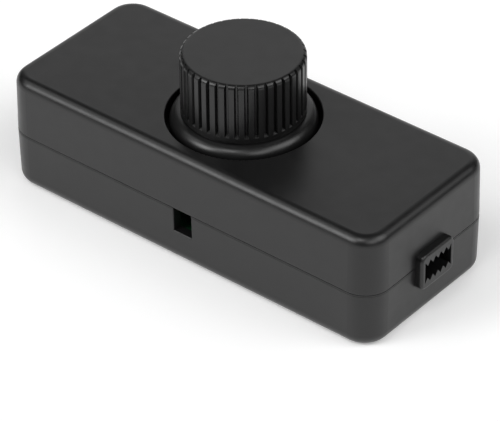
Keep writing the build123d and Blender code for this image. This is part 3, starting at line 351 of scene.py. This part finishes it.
@dataclass(frozen=True)
class SoftGlow:
    """Soft round patch of light in the surround. Angles are in degrees."""

    azimuth: float
    elevation: float
    spread: float
    radiance: float

    def direction(self) -> Vector:
        """Unit vector from the dimmer to the middle of the patch."""
        turn, lift = math.radians(self.azimuth), math.radians(self.elevation)
        return Vector((math.sin(turn) * math.cos(lift), -math.cos(turn) * math.cos(lift), math.sin(lift)))

    def add_to(self, tree: bpy.types.NodeTree, total: bpy.types.NodeSocket) -> bpy.types.NodeSocket:
        """Add the patch to the light of the surround.

        Args:
            tree: Node tree of the surround.
            total: Socket with the light so far.

        Returns:
            The socket with the patch added.
        """
        view = tree.nodes.new("ShaderNodeTexCoord")
        nearness = tree.nodes.new("ShaderNodeVectorMath")
        nearness.operation = "DOT_PRODUCT"
        nearness.inputs[1].default_value = self.direction()
        fall_off = tree.nodes.new("ShaderNodeMapRange")
        fall_off.interpolation_type = "SMOOTHSTEP"
        fall_off.inputs["From Min"].default_value = math.cos(math.radians(self.spread))
        fall_off.inputs["From Max"].default_value = 1.0
        fall_off.inputs["To Max"].default_value = self.radiance
        sum_up = tree.nodes.new("ShaderNodeMath")
        tree.links.new(view.outputs["Generated"], nearness.inputs[0])
        tree.links.new(nearness.outputs["Value"], fall_off.inputs["Value"])
        tree.links.new(fall_off.outputs["Result"], sum_up.inputs[0])
        tree.links.new(total, sum_up.inputs[1])
        return sum_up.outputs["Value"]


@dataclass(frozen=True)
class Studio:
    """Pale floor and a dark surround with soft patches of light."""

    floor_half: float = 3.0
    floor_blotch: float = 0.3
    floor_drift: float = 0.01
    floor_roughness: float = 0.9
    floor_gap: float = 0.02 * MM
    floor_tone: float = 0.86
    floor_glow: float = 0.22
    ambient: float = 0.02
    key_light: SoftGlow = SoftGlow(-30.0, 35.0, 20.0, 8.0)
    top_light: SoftGlow = SoftGlow(5.0, 60.0, 15.0, 6.5)
    left_light: SoftGlow = SoftGlow(-70.0, 50.0, 15.0, 2.0)
    side_light: SoftGlow = SoftGlow(65.0, 40.0, 22.0, 3.0)
    back_light: SoftGlow = SoftGlow(115.0, 45.0, 28.0, 3.5)
    rear_light: SoftGlow = SoftGlow(215.0, 20.0, 35.0, 0.9)

    def build(self) -> None:
        """Lay the floor and light the surround."""
        self._lay_floor()
        self._light_surround()
        LOG.info("studio ready")

    def _lay_floor(self) -> None:
        """Lay the pale floor that the dimmer stands on."""
        bpy.ops.mesh.primitive_plane_add(size=2.0 * self.floor_half, location=(0.0, 0.0, -self.floor_gap))
        floor = bpy.context.object
        floor.name = "studio_floor"
        sheet = MaterialSheet("floor_paper")
        tone = self.floor_tone
        darker = tone * (1.0 - self.floor_drift)
        paper = sheet.blend(sheet.noise(self.floor_blotch), (darker,) * 3, (tone,) * 3)
        sheet.join(paper, sheet.shader.inputs["Base Color"])
        sheet.set(Roughness=self.floor_roughness)
        sheet.set(Emission_Color=(1.0, 1.0, 1.0, 1.0), Emission_Strength=self.floor_glow)
        self._open_from_below(sheet)
        floor.data.materials.append(sheet.material)

    @staticmethod
    def _open_from_below(sheet: MaterialSheet) -> None:
        """Make a surface clear when it is seen from behind.

        Args:
            sheet: Material to change.
        """
        side = sheet.tree.nodes.new("ShaderNodeNewGeometry")
        clear = sheet.tree.nodes.new("ShaderNodeBsdfTransparent")
        either = sheet.tree.nodes.new("ShaderNodeMixShader")
        sheet.join(side.outputs["Backfacing"], either.inputs["Fac"])
        sheet.join(sheet.shader.outputs["BSDF"], either.inputs[1])
        sheet.join(clear.outputs["BSDF"], either.inputs[2])
        sheet.join(either.outputs["Shader"], sheet.output.inputs["Surface"])

    def _light_surround(self) -> None:
        """Add every patch of light to the faint even surround."""
        world = bpy.data.worlds.new("studio_surround")
        world.use_nodes = True
        tree = world.node_tree
        glow = tree.nodes["Background"]
        glow.inputs["Color"].default_value = (1.0, 1.0, 1.0, 1.0)
        base = tree.nodes.new("ShaderNodeValue")
        base.outputs["Value"].default_value = self.ambient
        total = base.outputs["Value"]
        front = (self.key_light, self.top_light, self.left_light)
        for patch in (*front, self.side_light, self.back_light, self.rear_light):
            total = patch.add_to(tree, total)
        tree.links.new(total, glow.inputs["Strength"])
        bpy.context.scene.world = world
        bpy.context.scene.view_settings.view_transform = "Standard"


def pick(*pieces: bpy.types.Object) -> None:
    """Select only these pieces and make the first one active."""
    bpy.ops.object.select_all(action="DESELECT")
    for piece in pieces:
        piece.select_set(True)
    bpy.context.view_layer.objects.active = pieces[0]


def settle(piece: bpy.types.Object, place: Vector = Vector()) -> bpy.types.Object:
    """Move a piece and work its place and turn into its mesh.

    Args:
        piece: Object to move.
        place: Where its origin goes.

    Returns:
        The piece, its object at the origin and unturned.
    """
    pick(piece)
    piece.location = Vector(piece.location) + place
    bpy.ops.object.transform_apply(location=True, rotation=True, scale=True)
    return piece


def joined(name: str, pieces: list[bpy.types.Object]) -> bpy.types.Object:
    """Join several pieces into one.

    Args:
        name: Name of the joined piece.
        pieces: Objects to join, at least one.

    Returns:
        The joined piece.
    """
    pick(*pieces)
    if len(pieces) > 1:
        bpy.ops.object.join()
    pieces[0].name = name
    return pieces[0]


def smoothed(piece: bpy.types.Object, sharp_angle: float = 40.0) -> bpy.types.Object:
    """Shade a piece smooth but for its sharp edges (degrees)."""
    pick(piece)
    bpy.ops.object.shade_smooth_by_angle(angle=math.radians(sharp_angle))
    return piece


@dataclass(frozen=True)
class Coil:
    """Wire or ridge wound round a vertical axis. Lengths in metres."""

    section_radius: float
    section_sides: int
    radius: float
    pitch: float
    turns: int
    steps: int = 32

    def build(self, name: str, foot: Vector) -> bpy.types.Object:
        """Wind it.

        Args:
            name: Name of the piece.
            foot: Point of the axis where the first turn starts.

        Returns:
            The closed coil.
        """
        quarter = math.pi / 2.0
        bpy.ops.mesh.primitive_circle_add(
            vertices=self.section_sides,
            radius=self.section_radius,
            location=(self.radius, 0.0, 0.0),
            rotation=(-quarter, -quarter, 0.0),
        )
        coil = bpy.context.object
        coil.name = name
        settle(coil)
        screw = coil.modifiers.new("winding", "SCREW")
        screw.axis = "Z"
        screw.screw_offset = self.pitch
        screw.iterations = self.turns
        screw.steps = self.steps
        screw.render_steps = self.steps
        bpy.ops.object.modifier_apply(modifier=screw.name)
        bpy.ops.object.mode_set(mode="EDIT")
        bpy.ops.mesh.select_all(action="SELECT")
        bpy.ops.mesh.fill_holes(sides=self.section_sides)
        bpy.ops.mesh.normals_make_consistent(inside=False)
        bpy.ops.object.mode_set(mode="OBJECT")
        return smoothed(settle(coil, foot))


def disc(
    radius: float,
    height: float,
    centre: Vector,
    turn: tuple[float, float, float] = (0.0, 0.0, 0.0),
    top_radius: float | None = None,
) -> bpy.types.Object:
    """Make a short cylinder or cone.

    Args:
        radius: Radius at the bottom.
        height: Length along the axis.
        centre: Middle of the piece.
        turn: Euler angles that turn it.
        top_radius: Radius at the top, or the bottom's.

    Returns:
        The closed piece.
    """
    bpy.ops.mesh.primitive_cone_add(
        vertices=32,
        radius1=radius,
        radius2=radius if top_radius is None else top_radius,
        depth=height,
        location=centre,
        rotation=turn,
    )
    return smoothed(settle(bpy.context.object))


@dataclass
class SubAssembly:
    """Group of CAD nodes that belong together, with the fine pieces added to them."""

    store: FinishStore
    body: str = HOUSING
    nodes: tuple[str, ...] = ()

    def build(self) -> None:
        """Dress the nodes, add the fine pieces and report them."""
        for node in self.nodes:
            self.store.dress_node(node)
        self.add_details()
        LOG.info("%s: %d nodes dressed", type(self).__name__, len(self.nodes))

    def add_details(self) -> None:
        """Add the fine pieces; nothing unless a sub-assembly has some."""

    def fit(self, piece: bpy.types.Object, slot: str) -> None:
        """Give a new piece its finish, slot and moving body.

        Args:
            piece: Finished piece.
            slot: Slot name in the record.
        """
        piece.data.materials.clear()
        piece.data.materials.append(self.store.get(slot))
        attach(piece, self.body)
        LOG.info("%s: %s", type(self).__name__, piece.name)


@dataclass
class Case(SubAssembly):
    """The two moulded halves, with the lower half's lip in the groove of the seam."""

    nodes: tuple[str, ...] = ("bottom_shell", "top_shell")
    outer_radius: float = 5.5 * MM
    collar_proud: float = 1.5 * MM
    collar_width: float = 10.0 * MM
    window_width: float = 4.4 * MM
    wall: float = 2.0 * MM
    lip_inset: float = 0.04 * MM
    lip_thickness: float = 0.1 * MM
    lip_height: float = 0.35 * MM
    lip_rise: float = 0.15 * MM
    corner_segments: int = 16

    def add_details(self) -> None:
        """Close the groove with the lip, which stops at the outlets and the window."""
        low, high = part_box("top_shell")
        half_length = high.x - self.collar_proud
        half_width = high.y
        lip = self._ring(half_length - self.lip_inset, half_width - self.lip_inset)
        settle(lip, Vector((0.0, 0.0, low.z + self.lip_rise - self.lip_height / 2.0)))
        through = Vector((4.0 * half_length, self.collar_width, self.wall))
        self._cut(lip, Vector((0.0, 0.0, low.z)), through)
        self._cut(lip, Vector((0.0, -half_width, low.z)), Vector((self.window_width, self.wall, self.wall)))
        self.fit(smoothed(lip), "case_black")

    def _ring(self, half_length: float, half_width: float) -> bpy.types.Object:
        """Make a flat ring with rounded corners.

        Args:
            half_length: Half its size along X.
            half_width: Half its size along Y.

        Returns:
            The closed ring about the origin.
        """
        bpy.ops.mesh.primitive_cube_add(size=2.0)
        ring = bpy.context.object
        ring.name = "seam_lip"
        ring.scale = (half_length, half_width, self.lip_height / 2.0)
        settle(ring)
        bpy.ops.object.mode_set(mode="EDIT")
        bpy.ops.mesh.select_mode(type="EDGE")
        bpy.ops.mesh.select_all(action="DESELECT")
        bpy.ops.object.mode_set(mode="OBJECT")
        for edge in ring.data.edges:
            ends = [ring.data.vertices[i].co for i in edge.vertices]
            edge.select = abs(ends[0].z - ends[1].z) > self.lip_height / 2.0
        bpy.ops.object.mode_set(mode="EDIT")
        bpy.ops.mesh.bevel(offset=self.outer_radius - self.lip_inset, segments=self.corner_segments)
        bpy.ops.mesh.select_mode(type="FACE")
        bpy.ops.mesh.select_all(action="DESELECT")
        bpy.ops.object.mode_set(mode="OBJECT")
        for face in ring.data.polygons:
            face.select = abs(face.normal.z) > 0.5
        bpy.ops.object.mode_set(mode="EDIT")
        bpy.ops.mesh.inset(thickness=self.lip_thickness)
        bpy.ops.mesh.delete(type="FACE")
        bpy.ops.mesh.select_mode(type="EDGE")
        bpy.ops.mesh.select_non_manifold()
        bpy.ops.mesh.bridge_edge_loops()
        bpy.ops.mesh.select_all(action="SELECT")
        bpy.ops.mesh.normals_make_consistent(inside=False)
        bpy.ops.object.mode_set(mode="OBJECT")
        return ring

    @staticmethod
    def _cut(piece: bpy.types.Object, middle: Vector, size: Vector) -> None:
        """Cut a box out of a piece.

        Args:
            piece: Object to cut.
            middle: Middle of the box.
            size: Lengths of the box.
        """
        bpy.ops.mesh.primitive_cube_add(size=1.0, location=middle)
        cutter = bpy.context.object
        cutter.scale = size
        settle(cutter)
        cut = piece.modifiers.new("cut", "BOOLEAN")
        cut.operation = "DIFFERENCE"
        cut.object = cutter
        bpy.context.view_layer.objects.active = piece
        bpy.ops.object.modifier_apply(modifier=cut.name)
        bpy.data.objects.remove(cutter)


@dataclass(frozen=True)
class ScrewThread:
    """Sharp ridge round a screw's shank. Lengths in metres."""

    shank_radius: float
    pitch: float
    turns: int
    ridge: float

    def build(self, name: str, foot: Vector) -> bpy.types.Object:
        """Wind the ridge upwards.

        Args:
            name: Name of the piece.
            foot: Point of the axis where the ridge starts.

        Returns:
            The ridge.
        """
        return Coil(self.ridge, 3, self.shank_radius, self.pitch, self.turns).build(name, foot)

    def at_corners(self, name: str, node: str, head_radius: float, rise: float) -> bpy.types.Object:
        """Wind the ridge round the four screws of a node that stand at its corners.

        Args:
            name: Name of the joined piece.
            node: CAD node of the screws.
            head_radius: Radius of a screw's head.
            rise: Height of the first turn above the node's lowest point.

        Returns:
            The four ridges as one piece.
        """
        low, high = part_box(node)
        reach = Vector((high.x - head_radius, high.y - head_radius))
        ridges = [
            self.build(name, Vector((x, y, low.z + rise)))
            for x in (-reach.x, reach.x)
            for y in (-reach.y, reach.y)
        ]
        return joined(name, ridges)


@dataclass
class CaseScrews(SubAssembly):
    """The four self-tapping screws that close the case."""

    nodes: tuple[str, ...] = ("case_screws",)
    head_radius: float = 2.1 * MM
    head_height: float = 1.7 * MM
    thread: ScrewThread = ScrewThread(1.15 * MM, 0.9 * MM, 7, 0.28 * MM)

    def add_details(self) -> None:
        """Cut the threads."""
        rise = self.head_height + self.thread.pitch / 2.0
        threads = self.thread.at_corners("case_screw_threads", "case_screws", self.head_radius, rise)
        self.fit(threads, "steel")


@dataclass
class Knob(SubAssembly):
    """Fluted knob with the shaft and the other pieces that turn with it."""

    body: str = TURNING_KNOB
    nodes: tuple[str, ...] = ("knob", "pot_shaft", "shaft_clip", "wiper_carrier", "wiper_contact")


@dataclass
class Potentiometer(SubAssembly):
    """Potentiometer body with its bush, washer and nut."""

    nodes: tuple[str, ...] = ("pot_bush", "pot_case", "pot_wafer", "pot_terminals", "pot_washer", "pot_nut")
    rivet_radius: float = 0.7 * MM
    rivet_height: float = 0.25 * MM
    tag_thickness: float = 0.3 * MM
    tag_length: float = 2.4 * MM
    tag_pitch: float = 5.0 * MM

    def add_details(self) -> None:
        """Close each tag's rivet with a domed head."""
        low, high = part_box("pot_wafer")
        across = high.y - self.tag_length / 2.0
        under = low.z - self.tag_thickness
        heads = []
        for step in (-1, 0, 1):
            bpy.ops.mesh.primitive_uv_sphere_add(
                segments=24,
                ring_count=12,
                radius=self.rivet_radius,
                location=(step * self.tag_pitch, across, under),
            )
            head = bpy.context.object
            head.scale.z = self.rivet_height / self.rivet_radius
            heads.append(smoothed(settle(head)))
        self.fit(joined("tag_rivet_heads", heads), "steel")


class BoardAxis(Enum):
    """Direction in which a row of leads runs on the board."""

    LENGTHWAYS = (1.0, 0.0, 0.0)
    CROSSWAYS = (0.0, 1.0, 0.0)


@dataclass(frozen=True)
class LeadRow:
    """Leads of one CAD node, evenly spaced along the board about the node's middle."""

    node: str
    count: int
    pitch: float
    axis: BoardAxis

    def places(self) -> list[Vector]:
        """Places of the leads in plan."""
        low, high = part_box(self.node)
        middle = (low + high) / 2.0
        along = Vector(self.axis.value)
        first = -(self.count - 1) / 2.0
        return [middle + along * self.pitch * (first + step) for step in range(self.count)]


@dataclass
class CircuitBoard(SubAssembly):
    """Board with its two screws and the solder joints under it."""

    nodes: tuple[str, ...] = ("circuit_board", "board_screws")
    joint_radius: float = 0.8 * MM
    joint_tip: float = 0.38 * MM
    joint_height: float = 0.6 * MM
    lead_radius: float = 0.35 * MM
    resistor_radius: float = 1.2 * MM
    terminal_pitch: float = 5.1 * MM
    clamp_depth: float = 4.6 * MM
    rows: tuple[LeadRow, ...] = (
        LeadRow("fuse", 2, 5.08 * MM, BoardAxis.CROSSWAYS),
        LeadRow("choke_core", 2, 5.08 * MM, BoardAxis.LENGTHWAYS),
        LeadRow("suppression_capacitor", 2, 10.0 * MM, BoardAxis.CROSSWAYS),
        LeadRow("timing_capacitor", 2, 5.08 * MM, BoardAxis.CROSSWAYS),
        LeadRow("triac", 3, 2.3 * MM, BoardAxis.CROSSWAYS),
        LeadRow("heat_sink", 2, 16.8 * MM, BoardAxis.CROSSWAYS),
        LeadRow("diac", 2, 7.62 * MM, BoardAxis.LENGTHWAYS),
    )

    def pins(self) -> list[Vector]:
        """Places in plan of every soldered lead but the potentiometer's tags."""
        found = [place for row in self.rows for place in row.places()]
        low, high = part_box("resistors")
        for x in (low.x + self.lead_radius, high.x - self.lead_radius):
            found += [Vector((x, y, 0.0)) for y in (low.y + self.resistor_radius, high.y - self.resistor_radius)]
        low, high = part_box("terminal_clamps")
        for x in (low.x + self.clamp_depth / 2.0, high.x - self.clamp_depth / 2.0):
            found += [Vector((x, side * self.terminal_pitch / 2.0, 0.0)) for side in (-1, 1)]
        return found

    def add_details(self) -> None:
        """Solder the leads."""
        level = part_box("circuit_board")[0].z - self.joint_height / 2.0
        joints = [
            disc(self.joint_tip, self.joint_height, Vector((pin.x, pin.y, level)), top_radius=self.joint_radius)
            for pin in self.pins()
        ]
        self.fit(joined("solder_joints", joints), "steel")


@dataclass
class TerminalBlocks(SubAssembly):
    """Both two-pole terminal blocks with their clamps and screws."""

    nodes: tuple[str, ...] = (
        "input_terminal_block",
        "output_terminal_block",
        "terminal_clamps",
        "terminal_screws",
    )
    head_radius: float = 1.7 * MM
    thread: ScrewThread = ScrewThread(1.1 * MM, 0.4 * MM, 3, 0.12 * MM)

    def add_details(self) -> None:
        """Cut the threads of the clamp screws."""
        rise = self.thread.pitch / 2.0
        threads = self.thread.at_corners("terminal_screw_threads", "terminal_screws", self.head_radius, rise)
        self.fit(threads, "zinc")


@dataclass
class TriacStack(SubAssembly):
    """Triac screwed to its cooling plate."""

    nodes: tuple[str, ...] = ("heat_sink", "triac", "triac_screw", "triac_nut")


@dataclass
class Choke(SubAssembly):
    """Drum core with its winding."""

    nodes: tuple[str, ...] = ("choke_core", "choke_winding")
    wire_radius: float = 0.13 * MM
    wire_sides: int = 8

    def add_details(self) -> None:
        """Wind the outermost layer of wire, turn by turn."""
        low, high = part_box("choke_winding")
        pitch = 2.0 * self.wire_radius
        middle = (low + high) / 2.0
        turns = int((high.z - low.z) / pitch) - 2
        coil = Coil(self.wire_radius, self.wire_sides, (high.x - low.x) / 2.0, pitch, turns)
        foot = Vector((middle.x, middle.y, low.z + pitch))
        self.fit(coil.build("choke_wire_turns", foot), "winding_copper")


@dataclass
class SmallComponents(SubAssembly):
    """Fuse, capacitors, resistors and diac."""

    nodes: tuple[str, ...] = ("fuse", "suppression_capacitor", "timing_capacitor", "resistors", "diac")
    resistor_radius: float = 1.2 * MM
    band_proud: float = 0.015 * MM
    band_width: float = 0.45 * MM
    band_slots: tuple[str, ...] = ("fuse_brown", "component_black", "capacitor_yellow", "brass")
    band_places: tuple[float, ...] = (-2.1 * MM, -1.1 * MM, -0.1 * MM, 1.9 * MM)

    def add_details(self) -> None:
        """Paint the value bands round both resistors."""
        low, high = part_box("resistors")
        level = high.z - self.resistor_radius
        rows = (low.y + self.resistor_radius, high.y - self.resistor_radius)
        for slot, place in zip(self.band_slots, self.band_places):
            rings = [
                disc(
                    self.resistor_radius + self.band_proud,
                    self.band_width,
                    Vector((place, row, level)),
                    (0.0, math.pi / 2.0, 0.0),
                )
                for row in rows
            ]
            self.fit(joined(f"resistor_bands_{slot}", rings), slot)


SUB_ASSEMBLIES: tuple[type[SubAssembly], ...] = (
    Case,
    CaseScrews,
    Knob,
    Potentiometer,
    CircuitBoard,
    TerminalBlocks,
    TriacStack,
    Choke,
    SmallComponents,
)


def main() -> None:
    """Build the scene piece by piece."""
    logging.basicConfig(level=logging.INFO, format="%(name)s: %(message)s")
    PhotoCamera().build()
    Studio().build()
    store = FinishStore()
    for kind in SUB_ASSEMBLIES:
        kind(store).build()


if __name__ == "__main__":
    main()
